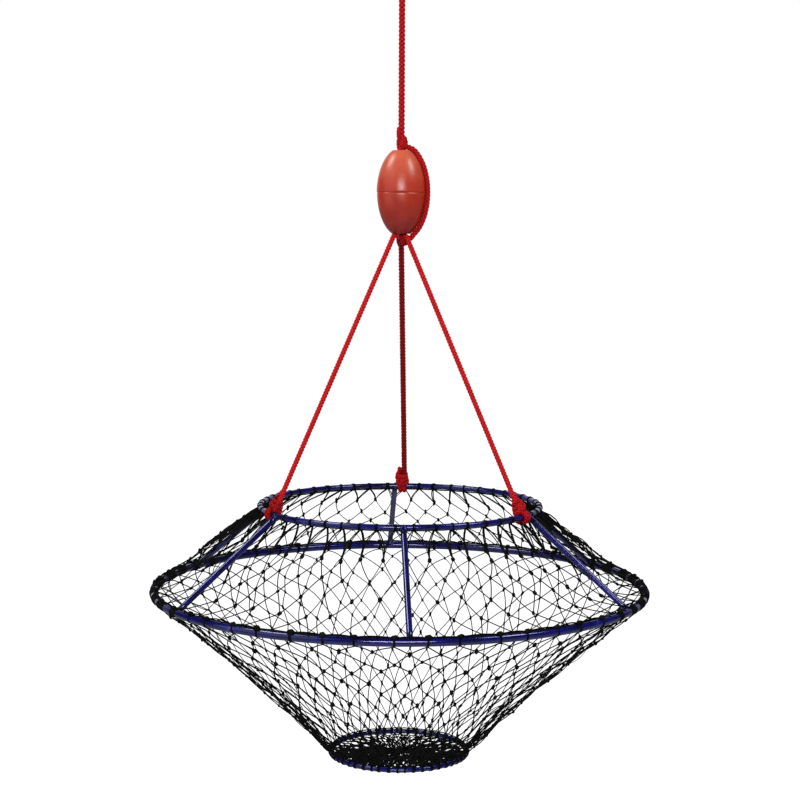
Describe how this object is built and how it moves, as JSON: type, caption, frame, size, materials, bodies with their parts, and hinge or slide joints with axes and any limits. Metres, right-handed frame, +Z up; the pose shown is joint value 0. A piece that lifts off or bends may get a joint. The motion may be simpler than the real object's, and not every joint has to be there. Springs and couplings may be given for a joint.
{
  "type": "crab hoop net",
  "caption": "Rigid cage crab net of steel hoops, sloping struts and knotted netting, hung from a rope bridle under an egg-shaped float, with a bait ring that lifts inside it.",
  "frame": {"origin": "where a hook bears inside the top of the hanging eye, on the net's upright axis", "axes": "+Z up along the pull rope, front of the net at -Y"},
  "size_m": [0.8146, 0.8155, 1.3064],
  "materials": {
    "blue_paint": "glossy blue paint on steel rod",
    "black_twine": "tarred twisted nylon twine",
    "red_cord": "braided red polypropylene cord",
    "float_plastic": "moulded orange-red plastic with a soft sheen"
  },
  "bodies": {
    "line": {"pull_rope": "red_cord", "hanging_eye": "red_cord", "eye_knot": "red_cord", "stopper_knot": "red_cord", "float_cord": "red_cord", "side_strand": "red_cord"},
    "float": {"float": "float_plastic"},
    "bridle_knot": {"bridle_knot": "red_cord"},
    "cage": {"bridle_leg_left": "red_cord", "bridle_leg_right": "red_cord", "bridle_leg_back": "red_cord", "hitch_left": "red_cord", "hitch_right": "red_cord", "hitch_back": "red_cord", "top_hoop": "blue_paint", "main_hoop": "blue_paint", "strut_front": "blue_paint", "strut_front_right": "blue_paint", "strut_back_right": "blue_paint", "strut_back": "blue_paint", "strut_back_left": "blue_paint", "strut_front_left": "blue_paint", "top_hoop_lashing": "black_twine", "main_hoop_lashing": "black_twine", "upper_netting": "black_twine", "lower_netting": "black_twine"},
    "bait_ring_set": {"bait_ring": "blue_paint", "bait_ring_lashing": "black_twine", "bottom_netting": "black_twine", "gather_tie": "black_twine"}
  },
  "joints": [
    {"name": "float_spin", "type": "hinge", "parent": "line", "child": "float", "pos_m": [0, 0, -0.37161], "axis": [0, 0, 1], "continuous": true},
    {"name": "bridle_swing_x", "type": "hinge", "parent": "line", "child": "bridle_knot", "pos_m": [0, 0, -0.44847], "axis": [1, 0, 0], "range_deg": [-28, 28]},
    {"name": "bridle_swing_y", "type": "hinge", "parent": "bridle_knot", "child": "cage", "pos_m": [0, 0, -0.44847], "axis": [0, 1, 0], "range_deg": [-28, 28]},
    {"name": "bait_ring_lift", "type": "slide", "parent": "cage", "child": "bait_ring_set", "axis": [0, 0, 1], "range_m": [0, 0.25], "deforming": ["lower_netting"]}
  ]
}
